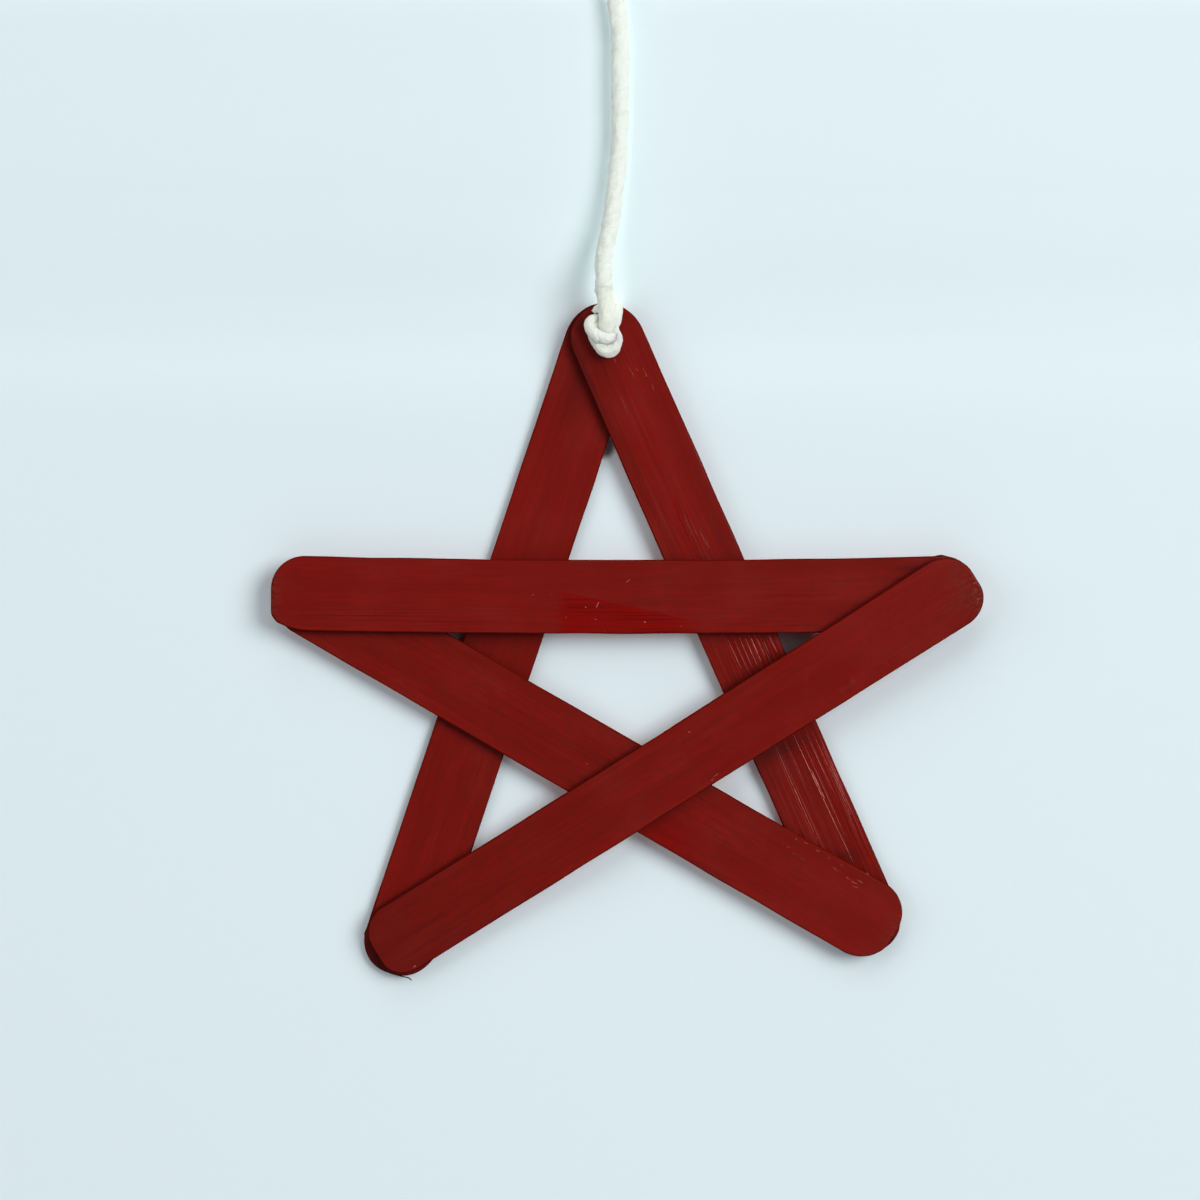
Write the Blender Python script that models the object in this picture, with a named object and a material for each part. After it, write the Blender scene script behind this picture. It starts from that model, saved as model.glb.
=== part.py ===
"""A star of five painted bamboo slats, hung on a twisted cotton cord that ends in a loop.

The star's face looks along -Y, and +Z is up. The origin is the inside top of the cord's loop,
where the ornament hangs. The slats lie over each other, from the back: left leg, right leg,
falling slat, crossbar, rising slat. The cord is tied through a hole in the two legs' tip.
"""

import bisect
import math
from collections import namedtuple

import bmesh
import bpy
from mathutils import Vector

# The slats, in metres
SLAT_LENGTH = 0.150
SLAT_WIDTH = 0.0157
SLAT_THICKNESS = 0.0018
END_CORNER_RADIUS = 0.0070
EDGE_ROUND = 0.0003
LAP_GAP = 0.0003
LEVEL_SHARE = 0.75

# The star: how far each slat's end lies past the point where it crosses its neighbour, and where
# the rearmost slat's back face is
TIP_SETBACK = 0.0066
BACK_FACE_Y = 0.0030

# The hole for the cord, and where the two legs cross above it
HOLE_X = -0.0045
HOLE_Z = -0.1200
HOLE_DIAMETER = 0.0050
LEGS_CROSS_RIGHT = 0.0005
LEGS_CROSS_ABOVE = 0.0012

# The cord. It is pressed a little thinner in its knots, and flat where it is pulled over the tip
CORD_DIAMETER = 0.0038
KNOT_STRAND_DIAMETER = 0.0035
STRAP_THICKNESS = 0.0013

# How finely the round forms are cut
CORNER_STEPS = 6
EDGE_STEPS = 2
SLAT_STEP = 0.006
HOLE_SIDES = 32
KNOT_SIDES = 12
KNOT_STEP = 0.0012
RUN_STEP = 2 * CORD_DIAMETER
LOOP_STEP = CORD_DIAMETER

# A tip of the star: its direction in a regular star, how far the maker's hand turned it from
# there (both in degrees, anticlockwise from +X), and how much further out than regular it lies
Tip = namedtuple("Tip", "regular turned further")
TIPS = {
    "top": Tip(90, 3.2, 0.0010),
    "right": Tip(18, -4.1, -0.0013),
    "lower_right": Tip(-54, 8.6, 0.0007),
    "lower_left": Tip(-126, -4.3, 0.0006),
    "left": Tip(162, 3.8, -0.0012),
}

# A slat: the tips that it joins, how much wider than usual it is, how much it widens from first
# to last, how far it is slid towards its last tip, and how far it lies aside and is bowed
# sideways, to the left of the way from first to last
Slat = namedtuple("Slat", "first last wider widens slid aside bowed")
SLATS = {
    "slat_left_leg": Slat("top", "lower_left", 0.0002, 0.0003, 0.0012, 0, 0),
    "slat_right_leg": Slat("top", "lower_right", -0.0005, -0.0003, 0.0005, -0.0002, 0),
    "slat_falling": Slat("left", "lower_right", 0.0011, 0.0008, 0.0015, -0.0001, 0),
    "slat_crossbar": Slat("left", "right", 0.0002, 0, -0.0002, 0, -0.0006),
    "slat_rising": Slat("lower_left", "right", -0.0005, 0.0009, -0.0003, 0, 0),
}

# The star's knot, from the hole's centre. Down to the hole: x, z, and how far the centre line is
# in front of the tip
STANDING_PART = (
    (0.0001, 0.0102, 0.0030),
    (0.0001, 0.0092, 0.0030),
    (0.0007, 0.0073, 0.0033),
    (0.0012, 0.0045, 0.0036),
    (0.0009, 0.0022, 0.0034),
    (0.0002, 0.0006, 0.0024),
)
# Up behind the tip: x, z and half width. Over its edge: x and half width
STRAP_BEHIND = ((0, -0.0012, 0.0018), (0.0002, 0.0028, 0.0021), (0.0008, 0.0060, 0.0028))
STRAP_OVER_EDGE = ((0.0011, 0.0034), (0.0012, 0.0036), (0.0013, 0.0035))
# Down in front again and once round the cord: x, z, half width and half thickness
TURN_ROUND_CORD = (
    (0.0017, 0.0058, 0.0031, 0.0007),
    (0.0022, 0.0036, 0.0021, 0.0010),
    (0.0025, 0.0017, 0.0017, 0.0014),
    (0.0024, 0.0000, 0.0017, 0.0017),
    (0.0018, -0.0019, 0.0018, 0.0018),
    (0.0003, -0.0030, 0.0018, 0.0018),
    (-0.0013, -0.0022, 0.0018, 0.0018),
    (-0.0022, -0.0004, 0.0018, 0.0018),
    (-0.0022, 0.0014, 0.0018, 0.0017),
    (-0.0014, 0.0027, 0.0017, 0.0016),
    (0.0000, 0.0031, 0.0016, 0.0015),
)

# The cord's way from the star's knot up to the loop's knot, and round the loop
RUN_ROUTE = (
    (-0.0044, -0.0039, -0.1095),
    (-0.0045, -0.0037, -0.1050),
    (-0.0041, -0.0035, -0.1017),
    (-0.0031, -0.0033, -0.0971),
    (-0.0025, -0.0030, -0.0924),
    (-0.0018, -0.0027, -0.0869),
    (-0.0013, -0.0024, -0.0805),
    (-0.0010, -0.0020, -0.0737),
    (-0.0010, -0.0017, -0.0667),
    (-0.0010, -0.0013, -0.0604),
    (-0.0013, -0.0010, -0.0546),
    (-0.0019, -0.0007, -0.0487),
    (-0.0018, -0.0005, -0.0445),
    (-0.0012, -0.0003, -0.0418),
    (-0.0012, -0.0003, -0.0402),
)
LOOP_ROUTE = (
    (-0.0021, 0.0000, -0.0306),
    (-0.0035, 0.0002, -0.0258),
    (-0.0054, 0.0004, -0.0199),
    (-0.0071, 0.0005, -0.0134),
    (-0.0080, 0.0005, -0.0066),
    (-0.0069, 0.0003, -0.0020),
    (-0.0040, 0.0001, 0.0009),
    (0.0000, 0.0000, 0.0019),
    (0.0040, -0.0001, 0.0009),
    (0.0069, -0.0003, -0.0020),
    (0.0080, -0.0005, -0.0066),
    (0.0070, -0.0005, -0.0134),
    (0.0052, -0.0004, -0.0199),
    (0.0034, -0.0002, -0.0258),
    (0.0021, 0.0000, -0.0306),
)

# The loop's knot: turns of the cord round the doubled cord, and its short tail hanging from them
LOOP_KNOT_CORE_WIDTH = 0.0058
LOOP_KNOT_TURNS = 1.5
LOOP_KNOT_TURN_RADIUS = 0.0030
STEPS_PER_TURN = 8
TAIL_LENGTH = 0.006
TAIL_LEAN = 0.0012

# Colours, as linear red, green and blue
PAINT_RED = (0.19, 0.008, 0.006, 1)
COTTON_WHITE = (0.80, 0.84, 0.76, 1)


def new_material(name, colour, roughness):
    material = bpy.data.materials.new(name)
    material.use_nodes = True
    shader = material.node_tree.nodes["Principled BSDF"]
    shader.inputs["Base Color"].default_value = colour
    shader.inputs["Roughness"].default_value = roughness
    shader.inputs["Metallic"].default_value = 0
    material.diffuse_color = colour
    return material


def new_object(name, data, material=None):
    made = bpy.data.objects.new(name, data)
    bpy.context.collection.objects.link(made)
    if material:
        data.materials.append(material)
    return made


def new_mesh_object(name, bm, material=None):
    mesh = bpy.data.meshes.new(name)
    bm.to_mesh(mesh)
    bm.free()
    return new_object(name, mesh, material)


def as_helper(helper):
    """Keeps a cutter or an added shape out of the finished object."""
    helper.hide_render = True
    helper.display_type = "WIRE"
    return helper


def add_boolean(target, operation, other):
    modifier = target.modifiers.new(f"{operation.lower()} {other.name}", "BOOLEAN")
    modifier.operation = operation
    modifier.solver = "EXACT"
    modifier.use_self = operation == "UNION"
    modifier.object = other


def eased(share):
    share = min(1, max(0, share))
    return share * share * (3 - 2 * share)


def spread(start, end, spans):
    """Evenly spread values from start to end, with both of them."""
    return [start + (end - start) * i / spans for i in range(spans + 1)]


def between(p, q, r, s, t):
    """The value at t on the way from q to r, on a smooth curve that passes p before and s after."""
    return q + t / 2 * (r - p + t * (2 * p - 5 * q + 4 * r - s + t * (3 * (q - r) + s - p)))


def smooth_route(route, step):
    """Points a step apart on a smooth curve through the route's own points. Numbers that follow a
    point's x, y and z, such as a half width, are smoothed along with them."""
    per_span = 24
    padded = [route[0], *route, route[-1]]
    fine = []
    for four in zip(padded, padded[1:], padded[2:], padded[3:]):
        for i in range(per_span):
            fine.append([between(*values, i / per_span) for values in zip(*four)])
    fine.append(list(route[-1]))
    lengths = [0]
    for one, other in zip(fine, fine[1:]):
        lengths.append(lengths[-1] + math.dist(one[:3], other[:3]))
    spans = max(1, round(lengths[-1] / step))
    points = []
    for i in range(spans):
        wanted = lengths[-1] * i / spans
        at = bisect.bisect_right(lengths, wanted) - 1
        share = (wanted - lengths[at]) / (lengths[at + 1] - lengths[at])
        points.append([a + (b - a) * share for a, b in zip(fine[at], fine[at + 1])])
    return [*points, fine[-1]]


class LaidSlat:
    """A slat in its place in the star. Places in the star's plane are (x, z), and the height of
    its back face is counted forwards from the rearmost slat's."""

    def __init__(self, slat, tips):
        first, last = tips[slat.first], tips[slat.last]
        self.along = (last - first).normalized()
        self.aside = Vector((-self.along.y, self.along.x))
        self.middle = (first + last) / 2 + slat.slid * self.along + slat.aside * self.aside
        self.width = SLAT_WIDTH + slat.wider
        self.widens = slat.widens
        self.bowed = slat.bowed
        self.rests = []

    def place(self, distance, sideways):
        """The point this far along and sideways from the slat's middle."""
        bow = self.bowed * (1 - (2 * distance / SLAT_LENGTH) ** 2)
        return self.middle + distance * self.along + (sideways + bow) * self.aside

    def half_width(self, distance):
        return (self.width + self.widens * distance / SLAT_LENGTH) / 2

    def height(self, distance):
        """The back face's height: level where the slat lies on one below, and eased between."""
        for (_, start, low), (end, _, high) in zip(self.rests, self.rests[1:]):
            if distance < end:
                return low + (high - low) * eased((distance - start) / (end - start))
        return self.rests[-1][2]

    def crossing(self, other):
        """How far along this slat, and along the other, their centre lines cross."""
        apart = other.middle - self.middle
        turn = self.along.cross(other.along)
        return apart.cross(other.along) / turn, apart.cross(self.along) / turn

    def lie_at(self, distance, height, level=0):
        self.rests = sorted([*self.rests, (distance - level, distance + level, height)])

    def lie_on(self, lower):
        """Rests this slat on a lower one, clear of it wherever the two overlap."""
        here, there = self.crossing(lower)
        angle = self.along.angle(lower.along)
        angle = min(angle, math.pi - angle)
        reach = self.width / 2 / math.sin(angle) + lower.width / 2 / math.tan(angle)
        below = max(lower.height(there + offset) for offset in (-reach, 0, reach))
        self.lie_at(here, below + SLAT_THICKNESS + LAP_GAP, LEVEL_SHARE * reach)

    def outline(self):
        """(distance, half width) at places along the slat, closer together round its ends."""
        corner = [math.pi / 2 * i / CORNER_STEPS for i in range(CORNER_STEPS)]
        straight_end = SLAT_LENGTH / 2 - END_CORNER_RADIUS
        rounded = [(END_CORNER_RADIUS * math.cos(a), END_CORNER_RADIUS * math.sin(a)) for a in corner]
        spans = math.ceil(2 * straight_end / SLAT_STEP)
        first_flat = self.half_width(-straight_end) - END_CORNER_RADIUS
        last_flat = self.half_width(straight_end) - END_CORNER_RADIUS
        return [
            *((-straight_end - past, first_flat + out) for past, out in rounded),
            *((d, self.half_width(d)) for d in spread(-straight_end, straight_end, spans)),
            *((straight_end + past, last_flat + out) for past, out in reversed(rounded)),
        ]


def tip_places():
    """Where the slats' centre lines meet at each tip, as (x, z), hung from the hole."""
    side = SLAT_LENGTH - 2 * TIP_SETBACK
    radius = side / (2 * math.sin(math.radians(72)))
    from_centre = {}
    for name, tip in TIPS.items():
        angle = math.radians(tip.regular + tip.turned)
        from_centre[name] = (radius + tip.further) * Vector((math.cos(angle), math.sin(angle)))
    top = Vector((HOLE_X + LEGS_CROSS_RIGHT, HOLE_Z + LEGS_CROSS_ABOVE))
    centre = top - from_centre["top"]
    return {name: centre + place for name, place in from_centre.items()}


def lay_slats():
    """The five slats in their places, from the back."""
    tips = tip_places()
    laid = {name: LaidSlat(slat, tips) for name, slat in SLATS.items()}
    left_leg, right_leg = laid["slat_left_leg"], laid["slat_right_leg"]
    falling, crossbar, rising = laid["slat_falling"], laid["slat_crossbar"], laid["slat_rising"]
    left_leg.lie_at(0, 0)
    right_leg.lie_on(left_leg)
    right_leg.lie_at(right_leg.crossing(falling)[0], 0)
    falling.lie_on(left_leg)
    falling.lie_on(right_leg)
    crossbar.lie_on(falling)
    crossbar.lie_on(right_leg)
    rising.lie_on(left_leg)
    rising.lie_on(falling)
    rising.lie_on(crossbar)
    return laid


def build_slat(name, slat, material):
    """A strip with rounded ends, bent over the slats below it, then thickened and its edges
    rounded by modifiers."""
    bm = bmesh.new()
    pairs = []
    for distance, half_width in slat.outline():
        pair = []
        for sideways in (half_width, -half_width):
            x, z = slat.place(distance, sideways)
            pair.append(bm.verts.new((x, BACK_FACE_Y - slat.height(distance), z)))
        pairs.append(pair)
    for (left, right), (next_left, next_right) in zip(pairs, pairs[1:]):
        bm.faces.new((left, right, next_right, next_left))
    made = new_mesh_object(name, bm, material)
    solidify = made.modifiers.new("thickness", "SOLIDIFY")
    solidify.thickness = SLAT_THICKNESS
    solidify.offset = 1
    bevel = made.modifiers.new("rounded edges", "BEVEL")
    bevel.width = EDGE_ROUND
    bevel.segments = EDGE_STEPS
    return made


def build_hole_cutter():
    bm = bmesh.new()
    depth = 6 * SLAT_THICKNESS
    bmesh.ops.create_cone(
        bm,
        cap_ends=True,
        segments=HOLE_SIDES,
        radius1=HOLE_DIAMETER / 2,
        radius2=HOLE_DIAMETER / 2,
        depth=depth,
    )
    cutter = as_helper(new_mesh_object("hole_cutter", bm))
    cutter.rotation_euler.x = math.pi / 2
    cutter.location = (HOLE_X, BACK_FACE_Y, HOLE_Z)
    return cutter


def build_stretch(name, route):
    """A stretch of cord in a knot, through points of x, y, z, half width and half thickness. Its
    width starts out along X."""
    stations = smooth_route(route, KNOT_STEP)
    centres = [Vector(station[:3]) for station in stations]
    bm = bmesh.new()
    rings = []
    side = Vector((1, 0, 0))
    for i, (centre, station) in enumerate(zip(centres, stations)):
        ahead = (centres[min(i + 1, len(centres) - 1)] - centres[max(i - 1, 0)]).normalized()
        side = (side - side.dot(ahead) * ahead).normalized()
        up = ahead.cross(side)
        half_width, half_thickness = station[3:]
        ring = []
        for angle in spread(0, math.tau, KNOT_SIDES)[:-1]:
            offset = half_width * math.cos(angle) * side + half_thickness * math.sin(angle) * up
            ring.append(bm.verts.new(centre + offset))
        rings.append(ring)
    for ring, following in zip(rings, rings[1:]):
        for i in range(KNOT_SIDES):
            j = (i + 1) % KNOT_SIDES
            bm.faces.new((ring[i], ring[j], following[j], following[i]))
    bm.faces.new(rings[0])
    bm.faces.new(rings[-1])
    bmesh.ops.recalc_face_normals(bm, faces=bm.faces)
    stretch = new_mesh_object(name, bm)
    stretch.data.shade_smooth()
    return stretch


def build_knot(name, stretches, material):
    """One body from the stretches of cord that cross in a knot."""
    knot, *others = [
        build_stretch(f"{name} stretch {i}", route) for i, route in enumerate(stretches)
    ]
    knot.name = name
    knot.data.materials.append(material)
    for other in others:
        add_boolean(knot, "UNION", as_helper(other))


def build_star_knot(laid, material):
    """The cord tied at the tip. It comes down in front and goes back through the hole, up behind
    the tip and, pressed flat, over its edge, and then once round itself in front of the hole."""
    strand = KNOT_STRAND_DIAMETER / 2
    strap = STRAP_THICKNESS / 2
    face_y = BACK_FACE_Y - 2 * SLAT_THICKNESS - LAP_GAP
    front_y = face_y - LAP_GAP
    behind_y = BACK_FACE_Y + LAP_GAP
    legs = (laid["slat_left_leg"], laid["slat_right_leg"])
    edge_z = max(
        leg.place(distance, sideways).y
        for leg in legs
        for distance, half_width in leg.outline()
        for sideways in (-half_width, half_width)
    )
    over_z = edge_z + LAP_GAP + strap

    def at(x, z, y, half_width=strand, half_thickness=strand):
        return HOLE_X + x, y, HOLE_Z + z, half_width, half_thickness

    standing = [
        *(at(x, z, face_y - forward) for x, z, forward in STANDING_PART),
        *(at(0, 0, y) for y in spread(face_y, BACK_FACE_Y, 2)),
        at(0, 0, behind_y + strap),
    ]
    over_edge = zip(
        STRAP_OVER_EDGE,
        (over_z - LAP_GAP, over_z, over_z - LAP_GAP),
        (behind_y + strap / 2, (front_y + behind_y) / 2, front_y - strap / 2),
    )
    strap_and_turn = [
        *(at(x, z, behind_y + strap, half_width, strap) for x, z, half_width in STRAP_BEHIND),
        *(at(x, z - HOLE_Z, y, half_width, strap) for (x, half_width), z, y in over_edge),
        *(at(x, z, front_y - thick, wide, thick) for x, z, wide, thick in TURN_ROUND_CORD),
    ]
    build_knot("star_knot", (standing, strap_and_turn), material)


def build_loop_knot(material):
    """Turns of cord round the doubled cord below the loop, with a short tail hanging from them."""
    strand = KNOT_STRAND_DIAMETER / 2
    core = LOOP_KNOT_CORE_WIDTH / 2
    entry_x, entry_y, entry_z = RUN_ROUTE[-1]
    bottom = entry_z + LAP_GAP
    top = LOOP_ROUTE[-1][2] - LAP_GAP
    middle = (bottom + top) / 2
    doubled = [
        (entry_x, entry_y, bottom, strand, strand),
        (entry_x, entry_y, (bottom + middle) / 2, strand, strand),
        (0, 0, middle, core, strand),
        (0, 0, top, core, strand),
    ]
    turns = []
    steps = round(LOOP_KNOT_TURNS * STEPS_PER_TURN)
    heights = spread(top - strand, bottom + strand, steps)
    for angle, z in zip(spread(-math.tau * LOOP_KNOT_TURNS, 0, steps), heights):
        x, y = LOOP_KNOT_TURN_RADIUS * math.cos(angle), LOOP_KNOT_TURN_RADIUS * math.sin(angle)
        turns.append((x, y, z, strand, strand))
    x, y, z = turns[-1][:3]
    tail = [
        (x, y, z, strand, strand),
        (x, y, z - strand, strand, strand),
        (x + TAIL_LEAN, y, z - TAIL_LENGTH, strand, strand),
    ]
    build_knot("loop_knot", (doubled, turns, tail), material)


def build_cord(name, route, step, material):
    curve = bpy.data.curves.new(name, "CURVE")
    curve.dimensions = "3D"
    curve.bevel_depth = CORD_DIAMETER / 2
    curve.bevel_resolution = 2
    curve.use_fill_caps = True
    points = smooth_route(route, step)
    spline = curve.splines.new("POLY")
    spline.points.add(len(points) - 1)
    for point, place in zip(spline.points, points):
        point.co = (*place, 1)
    spline.use_smooth = True
    return new_object(name, curve, material)


def main():
    for old in list(bpy.data.objects):
        bpy.data.objects.remove(old)
    paint = new_material("red_paint", PAINT_RED, 0.4)
    cotton = new_material("white_cotton", COTTON_WHITE, 0.9)
    laid = lay_slats()
    slats = {name: build_slat(name, slat, paint) for name, slat in laid.items()}
    hole_cutter = build_hole_cutter()
    for name in ("slat_left_leg", "slat_right_leg"):
        add_boolean(slats[name], "DIFFERENCE", hole_cutter)
    build_star_knot(laid, cotton)
    build_cord("cord_run", RUN_ROUTE, RUN_STEP, cotton)
    build_loop_knot(cotton)
    build_cord("cord_loop", LOOP_ROUTE, LOOP_STEP, cotton)


main()
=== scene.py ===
"""The looks of the bamboo star ornament: five red painted slats and a twisted cotton cord.

Everything is in metres, but for the tables that say otherwise, in the part's own frame: the
star's face looks along -Y, +Z is up, and the origin is the inside top of the cord's loop.
"""

import math
from collections import namedtuple

import bpy
import numpy as np
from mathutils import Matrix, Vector


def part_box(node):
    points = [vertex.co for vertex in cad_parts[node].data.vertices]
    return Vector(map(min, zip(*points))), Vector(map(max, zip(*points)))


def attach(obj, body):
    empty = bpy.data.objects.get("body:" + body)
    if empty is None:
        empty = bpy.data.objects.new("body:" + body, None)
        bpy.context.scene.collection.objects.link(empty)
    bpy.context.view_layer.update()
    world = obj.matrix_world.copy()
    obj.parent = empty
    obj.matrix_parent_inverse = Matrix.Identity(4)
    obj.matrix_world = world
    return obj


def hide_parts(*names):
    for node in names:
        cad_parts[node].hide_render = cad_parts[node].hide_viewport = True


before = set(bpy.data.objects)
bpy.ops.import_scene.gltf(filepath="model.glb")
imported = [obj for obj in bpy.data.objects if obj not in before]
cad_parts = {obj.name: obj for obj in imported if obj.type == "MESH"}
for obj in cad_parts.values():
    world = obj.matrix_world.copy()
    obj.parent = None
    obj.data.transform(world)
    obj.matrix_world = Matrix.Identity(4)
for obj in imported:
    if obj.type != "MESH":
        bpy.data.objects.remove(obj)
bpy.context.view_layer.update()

# How many tenths and hundredths of a millimetre a metre has, for the tables that are given in them
TENTHS = 10000
HUNDREDTHS = 100000

# The photograph: its size, how large a pixel is at the star, and the place of one of its pixels
IMAGE_PIXELS = 1200
PIXEL = 0.00021217
STAR_CENTRE_PIXEL_X = 624.7
VIEW_TOP_Z = -0.0487
CAMERA_DISTANCE = 0.85
SENSOR_WIDTH = 36

# The pale card behind the star, as (height, how far back). It keeps close to the slats' backs and,
# further forward, to the cord above the star, and clear of the knots
CARD_PROFILE = np.array((
    (-7000, 31), (-1370, 31), (-1300, 35), (-1230, 44), (-1165, 47), (-1120, 42), (-1070, 29),
    (-1020, 14), (-970, 3), (-920, -3), (-869, -4), (-805, -2), (-737, 1), (-604, 8),
    (-485, 14), (-465, 22), (-430, 44), (-400, 56), (-360, 60), (3500, 60),
)) / TENTHS
CARD_STEP = 0.002
# Where shade is painted on the card, darkest in the narrow corners between slats, by the
# photograph's pixels, and how far the painted shade reaches
CARD_SHADED_CORNERS = ((794, 641, 0.0070), (458, 637, 0.0040), (603, 445, 0.0034))
CARD_WIDTH = 1.0
# How much paler the card is for each metre that it comes forward in a metre of height, so that it
# looks even although less light falls on it there
CARD_EVENED = 0.30
FLOOR_Z = -1.2
FLOOR_SIZE = 12
FLOOR_GLOW = 0.93
PALE = (0.765, 0.880, 0.925)
# The colour of the shade painted in the card's corners
CARD_PAINTED_SHADE = (0.16, 0.15, 0.16)
ROOM = (0.72, 0.82, 0.86)

# The light: how far off the lamps stand, which way from the star, the share of the light on its
# face that each gives, how large it is, and how bright the dim room round them is. They stand off
# to the sides, so that the paint mirrors only the dim room. A lamp behind the star is as bright as
# one that faces it this much
LAMP_DISTANCE = 3.0
LEAST_FACING = 0.3
Lamp = namedtuple("Lamp", "name toward share size")
LAMPS = (
    Lamp("key_right", (0.86, -1.0, 0.32), 0.556, 2.0),
    Lamp("fill_left", (-1.0, -0.80, 0.25), 0.150, 2.6),
    Lamp("fill_top", (-0.1, -0.75, 1.0), 0.175, 2.6),
    Lamp("fill_low", (0.1, -0.75, -1.0), 0.190, 4.5),
    Lamp("behind", (0, 1.0, 0.35), 0.26, 1.6),
)
ROOM_LIGHT = 0.06
STAR_CENTRE = (0, 0, -0.19)

# The slats
SLAT_LENGTH = 0.150
SLAT_WIDTH = 0.0157
SLAT_THICKNESS = 0.0018
END_CORNER_RADIUS = 0.0070
EDGE_RADIUS = 0.00028
LAP_GAP = 0.0003
LEVEL_SHARE = 0.75
TIP_SETBACK = 0.0066
BACK_FACE_Y = 0.0030

# The hole for the cord, and where the two legs cross above it
HOLE_X = -0.0045
HOLE_Z = -0.1200
HOLE_DIAMETER = 0.0050
LEGS_CROSS_RIGHT = 0.0005
LEGS_CROSS_ABOVE = 0.0012
FACE_Y = BACK_FACE_Y - 2 * SLAT_THICKNESS - LAP_GAP

# The cord: its size, the length in which a strand goes once round, and its way up to the loop's
# knot and round the loop
CORD_DIAMETER = 0.0038
CORD_LAY = 0.0126
STRANDS = 3
RUN_ROUTE = np.array((
    (-44, -39, -1095), (-45, -37, -1050), (-41, -35, -1017), (-31, -33, -971), (-25, -30, -924),
    (-18, -27, -869), (-13, -24, -805), (-10, -20, -737), (-10, -17, -667), (-10, -13, -604),
    (-13, -10, -546), (-19, -7, -487), (-18, -5, -445), (-12, -3, -418), (-12, -3, -402),
)) / TENTHS
LOOP_ROUTE = np.array((
    (-21, 0, -306), (-35, 2, -258), (-54, 4, -199), (-71, 5, -134), (-80, 5, -66),
    (-69, 3, -20), (-40, 1, 9), (0, 0, 19), (40, -1, 9), (69, -3, -20), (80, -5, -66),
    (70, -5, -134), (52, -4, -199), (34, -2, -258), (21, 0, -306),
)) / TENTHS

# The star, as the part's source lays it out
Tip = namedtuple("Tip", "regular turned further")
TIPS = {
    "top": Tip(90, 3.2, 0.0010),
    "right": Tip(18, -4.1, -0.0013),
    "lower_right": Tip(-54, 8.6, 0.0007),
    "lower_left": Tip(-126, -4.3, 0.0006),
    "left": Tip(162, 3.8, -0.0012),
}
Slat = namedtuple("Slat", "first last wider widens slid aside bowed")
SLATS = {
    "slat_left_leg": Slat("top", "lower_left", 0.0002, 0.0003, 0.0012, 0, 0),
    "slat_right_leg": Slat("top", "lower_right", -0.0005, -0.0003, 0.0005, -0.0002, 0),
    "slat_falling": Slat("left", "lower_right", 0.0011, 0.0008, 0.0015, -0.0001, 0),
    "slat_crossbar": Slat("left", "right", 0.0002, 0, -0.0002, 0, -0.0008),
    "slat_rising": Slat("lower_left", "right", -0.0003, 0.0003, -0.0003, 0, 0),
}

# How each slat's shape really runs: how far its two ends lie aside, how far its middle bows
# aside, how much narrower its middle is, how far its ends are cut short, and how far each
# corner's round reaches across and along, first end first and its low side first
Shape = namedtuple("Shape", "aside bowed waist cut corners")
EVEN = (END_CORNER_RADIUS, END_CORNER_RADIUS)
SHAPES = {
    "slat_left_leg": Shape(
        (0, 0), 0, 0, (0.0004, -0.0003),
        ((0.0078, 0.0088), EVEN, EVEN, (0.0076, 0.0092)),
    ),
    "slat_right_leg": Shape(
        (-0.00027, 0), -0.0002, -0.0004, (0.0006, -0.0004),
        (EVEN, (0.0075, 0.0085), EVEN, EVEN),
    ),
    "slat_falling": Shape(
        (0, 0), -0.00025, 0.0005, (0, 0.0004),
        (EVEN, EVEN, (0.0072, 0.0080), (0.0070, 0.0072)),
    ),
    "slat_crossbar": Shape(
        (-0.00015, 0.00025), -0.00015, 0.0003, (0.0003, 0.0007),
        ((0.0040, 0.0085), (0.0072, 0.0072), EVEN, (0.0068, 0.0070)),
    ),
    "slat_rising": Shape(
        (-0.00018, 0.00026), -0.00025, 0.0005, (0.0001, 0.0002),
        ((0.0052, 0.0060), (0.0062, 0.0062), (0.0058, 0.0068), (0.0065, 0.0075)),
    ),
}


def link(made):
    bpy.context.collection.objects.link(made)
    return made


def pixel_x(px):
    return (px - STAR_CENTRE_PIXEL_X) * PIXEL


def pixel_z(py):
    return VIEW_TOP_Z - py * PIXEL


def add_camera():
    """The photograph's view: square on to the star, from far enough to look nearly flat."""
    camera = link(bpy.data.objects.new("camera", bpy.data.cameras.new("camera")))
    camera.data.sensor_width = SENSOR_WIDTH
    camera.data.lens = SENSOR_WIDTH * CAMERA_DISTANCE / (IMAGE_PIXELS * PIXEL)
    camera.data.clip_start = 0.01
    camera.location = (pixel_x(IMAGE_PIXELS / 2), -CAMERA_DISTANCE, pixel_z(IMAGE_PIXELS / 2))
    camera.rotation_euler = (math.pi / 2, 0, 0)
    bpy.context.scene.camera = camera


def spread(start, end, spans):
    """Evenly spread values from start to end, with both of them."""
    return [start + (end - start) * i / spans for i in range(spans + 1)]


def between(p, q, r, s, t):
    """The value at t on the way from q to r, on a smooth curve that passes p before and s after."""
    return q + t / 2 * (r - p + t * (2 * p - 5 * q + 4 * r - s + t * (3 * (q - r) + s - p)))


def smooth_route(route, step):
    """Points a step apart on a smooth curve through the route's own points. Numbers that follow a
    point's x, y and z, such as a half width, are smoothed along with them."""
    per_span = 24
    padded = [route[0], *route, route[-1]]
    fine = []
    for four in zip(padded, padded[1:], padded[2:], padded[3:]):
        for i in range(per_span):
            fine.append([between(*values, i / per_span) for values in zip(*four)])
    fine = np.array([*fine, route[-1]])
    lengths = np.r_[0, np.cumsum(np.linalg.norm(np.diff(fine[:, :3], axis=0), axis=1))]
    wanted = np.linspace(0, lengths[-1], max(2, round(lengths[-1] / step) + 1))
    return np.stack([np.interp(wanted, lengths, column) for column in fine.T], axis=1)


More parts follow.
